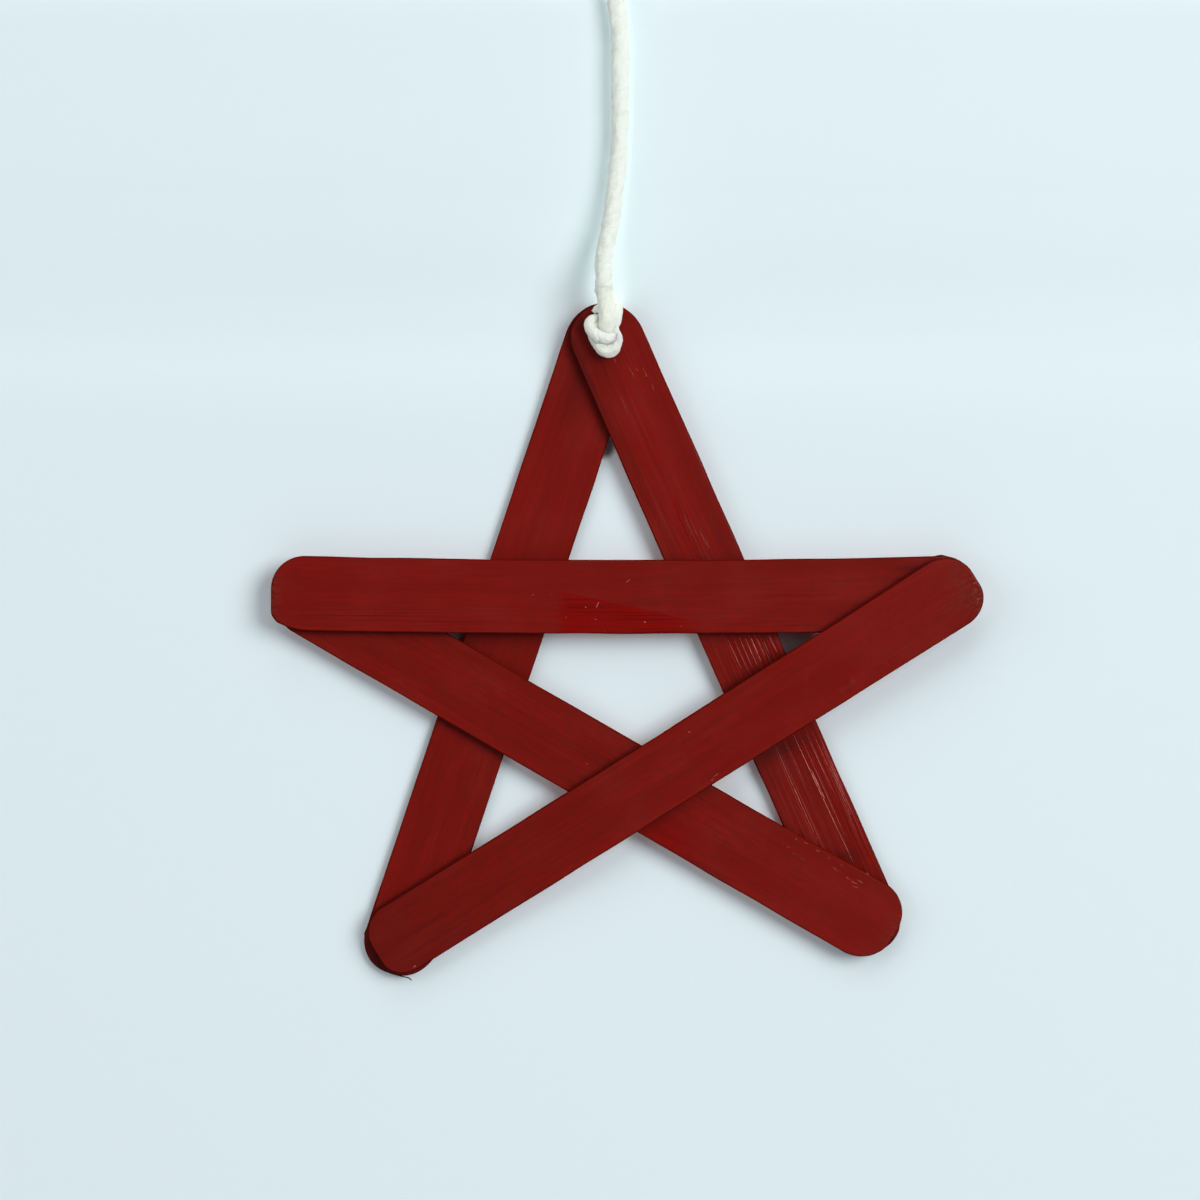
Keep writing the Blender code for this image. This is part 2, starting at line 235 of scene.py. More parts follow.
def ripples(u, v, seed):
    """Smooth noise from -1 to 1 over cells of size 1."""
    cells = 97
    lattice = np.random.default_rng(seed).uniform(-1, 1, (cells, cells))
    i, j = np.floor(u).astype(int), np.floor(v).astype(int)
    fu, fv = u - i, v - j
    fu, fv = fu * fu * (3 - 2 * fu), fv * fv * (3 - 2 * fv)
    i, j, ni, nj = i % cells, j % cells, (i + 1) % cells, (j + 1) % cells
    near = lattice[i, j] * (1 - fu) + lattice[ni, j] * fu
    far = lattice[i, nj] * (1 - fu) + lattice[ni, nj] * fu
    return near * (1 - fv) + far * fv


def wrapped_ripples(angle, run, relief):
    """Smooth noise on a cord's surface, without a seam where the angle comes round."""
    u, v = relief.cells * np.cos(angle), relief.cells * np.sin(angle)
    along = run / relief.length
    start, slant = 500, 0.61
    return ripples(start + u + slant * along, start + v + along, relief.seed)


def eased(share):
    share = np.clip(share, 0, 1)
    return share * share * (3 - 2 * share)


# Materials


class Nodes:
    """Short ways to add the nodes of one material, or of the world."""

    def __init__(self, owner):
        owner.use_nodes = True
        self.tree = owner.node_tree

    def set(self, node, given):
        """Sets a node's inputs, each to a value or to another node's output."""
        for key, value in given.items():
            if isinstance(value, bpy.types.NodeSocket):
                self.tree.links.new(value, node.inputs[key])
            else:
                node.inputs[key].default_value = value

    def add(self, kind, output, given=None, **settings):
        """Adds a node and gives back one of its outputs."""
        node = self.tree.nodes.new("ShaderNode" + kind)
        for key, value in settings.items():
            setattr(node, key, value)
        self.set(node, given or {})
        return node.outputs[output]

    def attribute(self, name, output="Vector"):
        return self.add("Attribute", output, attribute_name=name)

    def vector(self, operation, one, other=(0, 0, 0)):
        output = "Value" if operation == "LENGTH" else "Vector"
        return self.add("VectorMath", output, {0: one, 1: other}, operation=operation)

    def scaled(self, vector, scale):
        return self.vector("MULTIPLY", vector, scale)

    def noise(self, vector, detail, roughness=0.5):
        given = {"Vector": vector, "Scale": 1, "Detail": detail, "Roughness": roughness}
        return self.add("TexNoise", "Fac", given)

    def range(self, value, low, high, to_low=0.0, to_high=1.0):
        given = dict(enumerate((value, low, high, to_low, to_high)))
        return self.add("MapRange", 0, given, interpolation_type="SMOOTHSTEP")

    def math(self, operation, one, other):
        return self.add("Math", 0, {0: one, 1: other}, operation=operation)

    def times(self, one, other):
        return self.math("MULTIPLY", one, other)

    def mix(self, share, one, other):
        """A mix of two colours, each an output or its red, green and blue."""
        one, other = ((*c, 1) if isinstance(c, tuple) else c for c in (one, other))
        return self.add("Mix", 2, {"Factor": share, 6: one, 7: other}, data_type="RGBA")

    def bump(self, height, distance, strength):
        given = {"Height": height, "Distance": distance, "Strength": strength}
        return self.add("Bump", "Normal", given)


def new_material(name, roughness, specular):
    material = bpy.data.materials.new(name)
    nodes = Nodes(material)
    shader = nodes.tree.nodes["Principled BSDF"]
    nodes.set(shader, {"Roughness": roughness, "Specular IOR Level": specular})
    return material, shader, nodes


# The paint's colours, as linear red, green and blue
PAINT = {
    "deep": (0.170, 0.0042, 0.0015),
    "light": (0.206, 0.0048, 0.0017),
    "cloud": (0.208, 0.0055, 0.0020),
    "mottle": (0.130, 0.0055, 0.0036),
    "line": (0.115, 0.0030, 0.0015),
    "streak": (0.075, 0.0030, 0.0018),
    # Painted light: a lighter red where more light falls
    "fresh": (0.240, 0.0055, 0.0022),
    "wet": (0.212, 0.0026, 0.0012),
    "wet_streak": (0.090, 0.0015, 0.0008),
    # Painted glint: a paler colour along the ridges
    "painted_glint": (0.42, 0.13, 0.13),
    # The dark rim colour is painted shade along the slats' edges
    "rim": (0.045, 0.0060, 0.0035),
    # Painted shade: the shadows along the slats laid over others and of the knot
    "painted_shade": (0.022, 0.0030, 0.0030),
    "bare": (0.17, 0.040, 0.020),
    "under_flecks": (0.19, 0.0050, 0.0025),
    "pale_glint_and_fleck": (0.58, 0.22, 0.19),
    "dark_fleck": (0.035, 0.010, 0.008),
}

# How wide the painted shade along the slats' rims and their matte rims are
DARK_RIM = (0.00003, 0.00034)
MATTE_RIM = 0.00034


def paint_material(name, roughness, specular):
    """Red paint brushed thinly over bamboo: streaks, ridges with a painted glint, and dark rims of
    painted shade.
    """
    material, shader, nodes = new_material(name, roughness, specular)
    place = nodes.attribute("grain")

    def grain(along, across, detail, rough=0.5):
        """Noise in cells this long and this wide, in metres."""
        return nodes.noise(nodes.scaled(place, (1 / along, 1 / across, 1)), detail, rough)

    def shows(kind):
        """How strongly the slat shows this here."""
        return nodes.attribute(kind, "Fac")

    fine = grain(0.030, 0.00040, 3, 0.6)
    broad = grain(0.050, 0.0030, 2)
    cloudy = grain(0.010, 0.006, 3)
    mottled = grain(0.0020, 0.0009, 4, 0.65)
    lined = grain(0.014, 0.00036, 2)
    hair = grain(0.030, 0.00016, 2)
    chipped = grain(0.0012, 0.0006, 3)
    wet, ridged, rim = shows("wet"), shows("ridged"), shows("rim")
    # Painted shade along the slats' rims, left out where the light catches an edge
    rim_shade = nodes.math("SUBTRACT", 1, shows("clean"))
    layers = (
        ("cloud", nodes.range(cloudy, 0.45, 0.75, 0, 0.45)),
        ("mottle", nodes.range(mottled, 0.42, 0.60, 0, 0.42)),
        ("line", nodes.range(lined, 0.48, 0.66, 0, 0.50)),
        ("streak", nodes.times(nodes.range(fine, 0.52, 0.66, 0, 0.55), shows("streaked"))),
        ("fresh", shows("fresh")),
        ("wet", wet),
        ("wet_streak", nodes.times(nodes.range(fine, 0.50, 0.62, 0, 0.6), wet)),
        # Painted glint: a paler colour along the ridged patches' ridges
        ("painted_glint", nodes.times(nodes.range(hair, 0.56, 0.72, 0, 0.36), ridged)),
        ("rim", nodes.times(nodes.range(rim, *DARK_RIM, 0.6, 0), rim_shade)),
        # Painted shade: the shadows along the laps and of the knot
        ("painted_shade", shows("dark")),
        ("bare", nodes.times(nodes.range(chipped, 0.40, 0.75, 0, 0.8), shows("worn"))),
    )
    colour = nodes.mix(nodes.range(broad, 0.3, 0.7), PAINT["deep"], PAINT["light"])
    for key, share in layers:
        colour = nodes.mix(share, colour, PAINT[key])
    rough = nodes.range(cloudy, 0.35, 0.75, roughness - 0.02, roughness + 0.04)
    shiny = nodes.math("MAXIMUM", wet, ridged)
    rough = nodes.math("SUBTRACT", rough, nodes.times(shiny, 0.08))
    height = nodes.math("ADD", fine, nodes.times(hair, 0.5))
    height = nodes.times(height, nodes.math("ADD", 0.45, ridged))
    uneven = nodes.bump(height, 0.00003, 0.45)
    nodes.set(shader, {"Base Color": colour, "Roughness": rough, "Normal": uneven})
    return material


def fleck_material(name, fleck, specular):
    """Flecks, scratches and painted glints: their own colour, where they are strong, broken up by
    the paint's.
    """
    material, shader, nodes = new_material(name, 0.45, specular)
    broken = nodes.noise(nodes.scaled(nodes.attribute("grain"), (900, 9000, 1)), 3)
    shown = nodes.times(nodes.range(broken, 0.30, 0.60), nodes.attribute("strength", "Fac"))
    colour = nodes.mix(shown, PAINT["under_flecks"], PAINT[fleck])
    nodes.set(shader, {"Base Color": colour, "Normal": nodes.bump(broken, 0.00002, 0.5)})
    return material


# The cotton's colours: unyellowed, where hands have yellowed it, and in its soft darker places; and
# how much darker its hollows are, where shade is painted
COTTON = (0.885, 0.965, 0.885)
AGED_COTTON = (0.915, 0.98, 0.855)
DULL_COTTON = (0.80, 0.80, 0.66)
COTTON_SHADE = (0.86, 0.85, 0.82)


def cotton_material():
    """Soft white cotton: little tufts, and fine fibres that follow the strands."""
    material, shader, nodes = new_material("white_cotton_twist", 0.92, 0.25)
    place = nodes.attribute("fibre")
    yarn = nodes.noise(nodes.scaled(place, (2600, 2600, 1400)), 3, 0.6)
    tuft = nodes.noise(nodes.scaled(place, (800, 800, 900)), 3, 0.6)
    soft = nodes.noise(nodes.scaled(place, (400, 400, 160)), 2)
    tint = nodes.mix(nodes.attribute("aged", "Fac"), COTTON, AGED_COTTON)
    shade = nodes.scaled(tint, COTTON_SHADE)
    colour = nodes.mix(nodes.range(yarn, 0.35, 0.7, 0, 0.10), tint, shade)
    colour = nodes.mix(nodes.range(tuft, 0.40, 0.65, 0, 0.22), colour, shade)
    colour = nodes.mix(nodes.range(soft, 0.4, 0.7, 0, 0.18), colour, DULL_COTTON)
    # Painted shade: darker in the grooves, the tufts' hollows and the creases
    colour = nodes.mix(nodes.attribute("crease", "Fac"), colour, shade)
    height = nodes.math("ADD", yarn, nodes.times(tuft, 2.5))
    nodes.set(shader, {
        "Base Color": colour,
        "Subsurface Weight": 0.7,
        "Subsurface Scale": 0.0012,
        "Subsurface Radius": (1, 1, 0.9),
        "Sheen Weight": 0.25,
        "Sheen Roughness": 0.6,
        "Normal": nodes.bump(height, 0.00018, 0.8),
    })
    return material


# Meshes


def rows_of(x, y, z):
    """Rows of x, y and z, from arrays or single numbers."""
    return np.stack(np.broadcast_arrays(x, y, z), axis=-1).reshape(-1, 3)


def smooth_mesh(name, points, faces, attributes, *materials):
    """A smooth mesh with its named attributes."""
    mesh = bpy.data.meshes.new(name)
    mesh.from_pydata(points.tolist(), [], faces)
    for key, values in attributes.items():
        vector = np.ndim(values) == 2
        made = mesh.attributes.new(key, "FLOAT_VECTOR" if vector else "FLOAT", "POINT")
        made.data.foreach_set("vector" if vector else "value", np.ravel(values).astype(np.float32))
    for material in materials:
        mesh.materials.append(material)
    mesh.shade_smooth()
    return link(bpy.data.objects.new(name, mesh))


def mesh_object(*described):
    """A smooth mesh piece that rides on the ornament's body."""
    piece = smooth_mesh(*described)
    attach(piece, "root")
    return piece


# The cotton's uneven surface. For each kind of unevenness: the cells of noise round a strand, how
# long a cell is, the seed, and how far it stands out, as a share of the radius
Relief = namedtuple("Relief", "cells length seed share")
LUMPS = Relief(1.3, 0.0026, 7, 0.065)
TUFTS = Relief(2.0, 0.0010, 9, 0.095)
FUZZ = Relief(7.0, 0.0004, 8, 0.050)
CREASE_SPACING = 0.00080


def tube(stations, sides, lay, groove, creases=0.0, start=0.0):
    """A length of cord as (points, faces, attributes), closed at both ends.

    A station is x, y, z, half width, half thickness and how far its sides droop. The strands go
    round it once in a lay, with grooves of a share of its radius between them, and creases ripple
    across it. The start is how far along the cord the first station lies.
    """
    centres = stations[:, :3]
    ahead = np.gradient(centres, axis=0)
    ahead /= np.linalg.norm(ahead, axis=1)[:, None]
    run = start + np.r_[0, np.cumsum(np.linalg.norm(np.diff(centres, axis=0), axis=1))]
    side = np.array([1.0, 0, 0])
    angles = np.arange(sides) * math.tau / sides
    radius = CORD_DIAMETER / 2
    rings, fibres, depths = [], [], []
    for i, (x, y, z, wide, thick, droop) in enumerate(stations):
        side = side - side.dot(ahead[i]) * ahead[i]
        side /= np.linalg.norm(side)
        up = np.cross(ahead[i], side)
        turned = angles - math.tau * run[i] / lay
        crest = np.cos(turned * STRANDS / 2) ** 2
        kinds = (LUMPS, TUFTS, FUZZ)
        lumps, tufts, fuzz = (wrapped_ripples(turned, run[i], kind) for kind in kinds)
        ripple = creases * np.cos(run[i] * math.tau / CREASE_SPACING + 3 * lumps)
        shape = 1 - groove * (1 - crest) + LUMPS.share * lumps
        shape += TUFTS.share * tufts + FUZZ.share * fuzz + ripple
        offset = np.outer(wide * shape * np.cos(angles), side)
        offset += np.outer(thick * shape * np.sin(angles) - droop * np.cos(angles) ** 2, up)
        rings.append((x, y, z) + offset)
        fibres.append(rows_of(radius * np.cos(turned), radius * np.sin(turned), run[i]))
        # How deep a point lies in a groove, a tuft's hollow or a crease, where the cotton is given
        # painted shade
        depth = 4 * groove * (1 - crest) ** 3 + 0.20 * np.maximum(0, -tufts)
        depths.append(np.clip(depth + 8 * np.maximum(0, -ripple), 0, 1))
    faces = []
    for i in range(len(rings) - 1):
        for k in range(sides):
            a, b = i * sides + k, i * sides + (k + 1) % sides
            faces.append((a, b, b + sides, a + sides))
    last = (len(rings) - 1) * sides
    faces.append(tuple(range(sides))[::-1])
    faces.append(tuple(range(last, last + sides)))
    attributes = {"fibre": np.concatenate(fibres), "crease": np.concatenate(depths)}
    return np.concatenate(rings), faces, attributes


def joined(tubes):
    """Several tubes as one (points, faces, attributes)."""
    points, faces, start = [], [], 0
    for tube_points, tube_faces, _ in tubes:
        faces += [tuple(start + k for k in face) for face in tube_faces]
        points.append(tube_points)
        start += len(tube_points)
    attributes = {key: np.concatenate([t[2][key] for t in tubes]) for key in tubes[0][2]}
    return np.concatenate(points), faces, attributes


# The cord

# The height where the cord begins to be yellower, and over how far that grows below it
AGED_FROM = HOLE_Z + 0.0130
AGED_OVER = 0.0050
# How deep the grooves between the strands are, as a share of the cord's radius
GROOVE = 0.03
# How far apart the rings of the cord's tubes are, in its run and loop, and in its knots
RUN_STEP = 0.0004
KNOT_STEP = 0.0002


def cotton_object(name, tubes, material):
    """Tubes of cotton as one piece."""
    points, faces, attributes = joined(tubes)
    attributes["aged"] = eased((AGED_FROM - points[:, 2]) / AGED_OVER)
    piece = mesh_object(name, points, faces, attributes, material)
    return piece


def add_cord(material):
    """The run and the loop in one: three strands twisted together."""
    in_star_knot = (HOLE_X + 0.0003, -0.0039, HOLE_Z + 0.0080)
    in_loop_knot = (0.0012, 0.0000, -0.0350)
    places = (in_star_knot, *RUN_ROUTE, *LOOP_ROUTE, in_loop_knot)
    slimmer = {0: 0.90, 1: 0.97, len(places) - 1: 0.92}
    route = []
    for number, place in enumerate(places):
        radius = slimmer.get(number, 1) * CORD_DIAMETER / 2
        route.append((*place, radius, radius, 0))
    stations = smooth_route(route, RUN_STEP)
    cord = cotton_object("cord", [tube(stations, 56, CORD_LAY, GROOVE)], material)
    path = stations[::4, :3].tolist() + [stations[-1, :3].tolist()]
    length = sum(math.dist(one, other) for one, other in zip(path, path[1:]))
    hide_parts("cord_run", "cord_loop")
    return cord, path, length


# How far the run and the star's knot overlap, and how deep the creases across the knot's turns
# are, as a share of the radius
KNOT_LAP = 0.0025
KNOT_CREASES = 0.003

# The star's knot: the stretches of cord in it, each as right of the hole's centre, above it, in
# front of the tip's face, half width, half thickness and how far the sides droop
STANDING_PART = np.array((
    (20, -20, -200, 160, 160, 0),
    (40, 20, 60, 160, 160, 0),
    (60, 120, 200, 170, 150, 0),
    (80, 280, 280, 180, 140, 0),
    (90, 450, 300, 190, 140, 0),
    (80, 620, 300, 190, 150, 0),
    (40, 780, 290, 192, 180, 0),
    (20, 900, 290, 188, 182, 0),
    (10, 980, 290, 183, 181, 0),
    (10, 1050, 285, 130, 130, 0),
)) / HUNDREDTHS
FLAP_AND_ROUND = np.array((
    (0, -140, -470, 170, 50, 0),
    (10, 60, -480, 200, 60, 0),
    (40, 300, -480, 250, 50, 0),
    (80, 560, -470, 310, 50, 0),
    (80, 650, -430, 320, 50, 80),
    (80, 700, -210, 330, 50, 130),
    (110, 660, 0, 350, 50, 120),
    (160, 590, 60, 330, 60, 50),
    (190, 520, 90, 270, 80, 0),
    (210, 420, 100, 210, 100, 0),
    (220, 300, 120, 170, 120, 0),
    (200, 170, 130, 135, 130, 0),
    (210, 60, 150, 150, 150, 0),
    (240, -60, 170, 170, 170, 0),
    (230, -160, 180, 175, 180, 0),
    (160, -280, 180, 175, 180, 0),
    (60, -300, 180, 170, 180, 0),
    (-50, -220, 170, 160, 170, 0),
    (-160, -70, 140, 145, 140, 0),
    (-220, 70, 110, 120, 110, 0),
)) / HUNDREDTHS
OUTER_TURN = np.array((
    (-10, 320, 110, 80, 80, 0),
    (-120, 370, 160, 70, 90, 0),
    (-240, 340, 190, 75, 110, 0),
    (-310, 240, 210, 80, 120, 0),
    (-270, 120, 230, 105, 130, 0),
    (-160, 10, 250, 140, 140, 0),
    (-20, -60, 260, 160, 150, 0),
    (120, -90, 250, 160, 150, 0),
    (240, -70, 190, 140, 140, 0),
    (300, -10, 110, 90, 100, 0),
)) / HUNDREDTHS
INNER_TURN = np.array((
    (-10, 300, 130, 90, 100, 0),
    (-80, 250, 170, 85, 100, 0),
    (-140, 180, 190, 80, 110, 0),
    (-180, 90, 200, 90, 110, 0),
)) / HUNDREDTHS


def knot_stations(part):
    face = FACE_Y - LAP_GAP / 2
    route = [(HOLE_X + x, face - out, HOLE_Z + z, *rest) for x, z, out, *rest in part]
    return smooth_route(route, KNOT_STEP)


def add_star_knot(material):
    """The cord tied through the hole and over the tip's edge, then once round itself."""
    standing = knot_stations(STANDING_PART)
    length = np.linalg.norm(np.diff(standing[:, :3], axis=0), axis=1).sum()
    tubes = [tube(standing, 56, CORD_LAY, GROOVE, start=KNOT_LAP - length)]
    for part, sides, lay, groove in (
        (FLAP_AND_ROUND, 56, 0.016, 0.05),
        (OUTER_TURN, 44, 0.012, 0.04),
        (INNER_TURN, 36, 0.012, 0.04),
    ):
        tubes.append(tube(knot_stations(part), sides, lay, groove, KNOT_CREASES))
    knot = cotton_object("cord_star_knot", tubes, material)
    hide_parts("star_knot")
    return knot


def rounded_end(stations):
    """The stations with the cord drawn in to a blunt round end."""
    stations = stations.copy()
    distances = np.linalg.norm(stations[:, :3] - stations[-1, :3], axis=1)
    near = np.clip(distances / (0.7 * stations[-1, 3]), 0, 1)
    stations[:, 3:5] *= np.sqrt(np.clip(1 - (1 - near) ** 2, 0.02, 1))[:, None]
    return stations


def add_loop_knot(material):
    """Turns of the cord round the doubled cord, with its short tail hanging beside the run."""
    strand, core, turn_radius = 0.0018, 0.0029, 0.0030
    low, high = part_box("loop_knot")
    bottom, top = RUN_ROUTE[-1][2], LOOP_ROUTE[-1][2]
    turns, steps = 1.5, 12
    angles = spread(-math.tau * turns, 0, steps)
    heights = spread(top - strand, bottom + strand, steps)
    route = []
    for angle, z in zip(angles, heights):
        x, y = turn_radius * math.cos(angle), turn_radius * math.sin(angle)
        route.append((x, y, z, strand, strand, 0))
    x, y, z = route[-1][:3]
    tail = [
        (x, y, z, strand, strand, 0),
        (x, y, z - strand, strand, strand, 0),
        (high[0] - 1.05 * strand, y, low[2] + 0.0002, strand, strand, 0),
    ]
    doubled = [
        (*RUN_ROUTE[-1], 0.95 * strand, 0.95 * strand, 0),
        (0, 0, (bottom + top) / 2, core, strand, 0),
        (0, 0, top, core, strand, 0),
    ]
    tubes = [
        tube(smooth_route(doubled, RUN_STEP), 40, CORD_LAY, GROOVE),
        tube(smooth_route(route, RUN_STEP), 44, CORD_LAY, GROOVE),
        tube(rounded_end(smooth_route(tail, KNOT_STEP)), 44, CORD_LAY, GROOVE),
    ]
    knot = cotton_object("cord_loop_knot", tubes, material)
    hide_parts("loop_knot")
    return knot


# The slats


def corner_reach(past, corner):
    """How far in from the slat's straight edge its outline has come, this far into a corner."""
    across, along = corner
    return across * (1 - np.sqrt(1 - (np.clip(past, 0, along) / along) ** 2))


def corner_depth(ahead, beside, corner):
    """How far inside the outline points lie, by how far they are short of the slat's end and of
    its straight edge."""
    across, along = corner
    qx, qy = (along - ahead) / along, (across - beside) / across
    reach = np.hypot(qx, qy)
    slope = np.hypot(qx / along, qy / across)
    rounded = (1 - reach) * reach / np.maximum(slope, 1e-9)
    return np.where((qx > 0) & (qy > 0), rounded, np.minimum(ahead, beside))


class LaidSlat:
    """A slat in its place in the star, as in the part's source."""

    def __init__(self, name, slat, tips):
        self.name = name
        self.seed = 11 + 10 * list(SLATS).index(name)
        self.shape = SHAPES[name]
        first, last = tips[slat.first], tips[slat.last]
        self.along = (last - first).normalized()
        self.aside = Vector((-self.along.y, self.along.x))
        self.middle = (first + last) / 2 + slat.slid * self.along + slat.aside * self.aside
        self.width = SLAT_WIDTH + slat.wider
        self.widens = slat.widens
        self.bowed = slat.bowed + self.shape.bowed
        self.start = -SLAT_LENGTH / 2 + self.shape.cut[0]
        self.end = SLAT_LENGTH / 2 - self.shape.cut[1]
        self.corners = self.shape.corners
        self.rests = []

    def sways(self, distance):
        """How far sideways of its straight line the slat's middle lies."""
        first, last = self.shape.aside
        share = distance / SLAT_LENGTH
        return self.bowed * (1 - 4 * share**2) + first * (0.5 - share) + last * (0.5 + share)

    def place(self, distance, sideways):
        """x and z of the points this far along and sideways from the slat's middle."""
        sideways = sideways + self.sways(distance)
        x = self.middle.x + distance * self.along.x + sideways * self.aside.x
        z = self.middle.y + distance * self.along.y + sideways * self.aside.y
        return x, z

    def from_pixel(self, px, py):
        """How far along and sideways from the slat's middle its face shows in a pixel of the
        photograph."""
        middle = IMAGE_PIXELS / 2
        distance = 0.0
        for _ in range(3):
            face_y = BACK_FACE_Y - float(self.height(distance)) - SLAT_THICKNESS
            nearer = (CAMERA_DISTANCE + face_y) / CAMERA_DISTANCE
            x = pixel_x(middle + (px - middle) * nearer)
            z = pixel_z(middle + (py - middle) * nearer)
            there = Vector((x, z)) - self.middle
            distance = there.dot(self.along)
        return distance, there.dot(self.aside) - self.sways(distance)

    def half_width(self, distance):
        share = distance / SLAT_LENGTH
        waist = self.shape.waist * (1 - 4 * share**2)
        return (self.width + self.widens * share - waist) / 2

    def depth_inside(self, distances, sideways):
        """How far inside the slat's outline points lie."""
        depths = []
        for side, sign in ((0, -1), (1, 1)):
            beside = self.half_width(distances) - sign * sideways
            depths.append(corner_depth(distances - self.start, beside, self.corners[side]))
            depths.append(corner_depth(self.end - distances, beside, self.corners[2 + side]))
        return np.minimum.reduce(depths)

    def height(self, distance):
        """The back face's height: level where the slat lies on one below, and eased between."""
        found = np.full(np.shape(distance), self.rests[0][2], float)
        for (_, start, low), (end, _, high) in zip(self.rests, self.rests[1:]):
            found += (high - low) * eased((distance - start) / (end - start))
        return found

    def crossing(self, other):
        """How far along this slat, and along the other, their centre lines cross."""
        apart = other.middle - self.middle
        turn = self.along.cross(other.along)
        return apart.cross(other.along) / turn, apart.cross(self.along) / turn

    def lie_at(self, distance, height, level=0):
        self.rests = sorted([*self.rests, (distance - level, distance + level, height)])

    def lie_on(self, lower):
        """Rests this slat on a lower one, clear of it wherever the two overlap."""
        here, there = self.crossing(lower)
        angle = self.along.angle(lower.along)
        angle = min(angle, math.pi - angle)
        reach = self.width / 2 / math.sin(angle) + lower.width / 2 / math.tan(angle)
        below = max(float(lower.height(there + offset)) for offset in (-reach, 0, reach))
        self.lie_at(here, below + SLAT_THICKNESS + LAP_GAP, LEVEL_SHARE * reach)


def tip_places():
    """Where the slats' centre lines meet at each tip, as (x, z), hung from the hole."""
    side = SLAT_LENGTH - 2 * TIP_SETBACK
    radius = side / (2 * math.sin(math.radians(72)))
    from_centre = {}
    for name, tip in TIPS.items():
        angle = math.radians(tip.regular + tip.turned)
        from_centre[name] = (radius + tip.further) * Vector((math.cos(angle), math.sin(angle)))
    top = Vector((HOLE_X + LEGS_CROSS_RIGHT, HOLE_Z + LEGS_CROSS_ABOVE))
    centre = top - from_centre["top"]
    return {name: centre + place for name, place in from_centre.items()}


def lay_slats():
    """The five slats in their places, from the back."""
    tips = tip_places()
    laid = {name: LaidSlat(name, slat, tips) for name, slat in SLATS.items()}
    left_leg, right_leg, falling, crossbar, rising = laid.values()
    left_leg.lie_at(0, 0)
    right_leg.lie_on(left_leg)
    right_leg.lie_at(right_leg.crossing(falling)[0], 0)
    falling.lie_on(left_leg)
    falling.lie_on(right_leg)
    crossbar.lie_on(falling)
    crossbar.lie_on(right_leg)
    rising.lie_on(left_leg)
    rising.lie_on(falling)
    rising.lie_on(crossbar)
    return laid


# Patches of the slats' faces that look different, by the photograph's pixels: the middle, how far
# it reaches along and across the slat, in tenths of a millimetre, and how strong it is
PATCHES = {
    "slat_left_leg": {
        "streaked": ((560, 420, 300, 60, 0.6),),
        # The patches of lighter paint here and below are painted light, where more light falls
        "fresh": ((548, 450, 500, 300, 0.30),),
        # The dark patches here and below are painted shade: the knot's shadow, the shadows of the
        # slats laid over others and a shaded lower left end; two lie beside worn chips
        "dark": ((586, 360, 160, 36, 0.40), (384, 956, 60, 70, 0.75)),
    },
    "slat_right_leg": {
        # The ridged patches carry a painted glint along their ridges
        "ridged": (
            (762, 660, 120, 90, 1.0), (838, 780, 220, 60, 1.0), (806, 800, 220, 70, 0.6),
            (640, 420, 200, 60, 0.15), (685, 530, 160, 80, 0.35),
        ),
        "fresh": ((640, 410, 400, 60, 0.45),),
        "dark": (
            (800, 688, 40, 100, 0.4), (590, 350, 100, 40, 0.30), (579, 322, 50, 26, 0.50),
            (581, 362, 170, 9, 0.60), (772, 750, 22, 70, 0.5), (835, 862, 16, 70, 0.4),
        ),
        # Where this rim catches the light, its painted shade is left out
        "clean": ((832, 752, 120, 15, 0.7),),
    },
    "slat_falling": {
        "wet": ((668, 838, 70, 40, 0.7),),
        "fresh": ((860, 900, 200, 300, 0.20),),
        "worn": ((901, 915, 18, 70, 0.60),),
    },
    "slat_crossbar": {
        "streaked": (
            (390, 612, 280, 34, 1.0), (560, 615, 300, 26, 0.8), (740, 622, 200, 16, 0.7),
        ),
        "fresh": ((450, 590, 550, 300, 0.30),),
        "dark": ((914, 570, 40, 10, 0.45), (271, 604, 10, 60, 0.45)),
        "worn": ((272, 604, 16, 70, 0.80),),
    },
    "slat_rising": {
        "fresh": ((860, 640, 400, 300, 0.20),),
        "dark": ((385, 940, 240, 200, 0.26), (978, 600, 40, 70, 0.20)),
        # Where this rim catches the light, its painted shade is left out
        "clean": ((890, 676, 200, 20, 0.9),),
        "worn": ((980, 598, 40, 70, 0.75), (941, 556, 20, 15, 0.5)),
    },
}

# The ridges of the bamboo's fibres: how high, long and wide they are, and the number of their
# noise. The sharp ones show only in the ridged patches, and the last on the slats' backs
Ridges = namedtuple("Ridges", "height length width number")
FINE_RIDGES = Ridges(0.000014, 0.030, 0.0008, 1)
BROAD_RIDGES = Ridges(0.000035, 0.045, 0.0045, 2)
SHARP_RIDGES = Ridges(0.000040, 0.050, 0.0005, 3)
BACK_RIDGES = Ridges(0.000025, 0.020, 0.0008, 4)

# How far the slats' outlines waver, and how long a wave is
WAVERS = 0.00007
WAVE_LENGTH = 0.009

# How streaky each slat's paint is all over
STREAKED = {
    "slat_left_leg": 0.35,
    "slat_right_leg": 0.65,
    "slat_falling": 0.25,
    "slat_crossbar": 0.30,
    "slat_rising": 0.08,
}

# The crossbar's wet-looking patch: it lies below a straight line between these two pixels, and
# fades in over this far below the line and from its two ends
WET_FROM = (552, 588)
WET_TO = (716, 624)
WET_EDGE = 0.0005
WET_ENDS = (0.004, 0.012)

# The painted shade along the slats laid over others: how far it spreads, how dark it is, and how
# much darker it is on their left and on their lower sides, where their shadows fall
LAP_SHADE_REACH = 0.00050
LAP_SHADE = 0.34
LAP_SHADE_LEFT = 0.42
LAP_SHADE_BELOW = 0.14

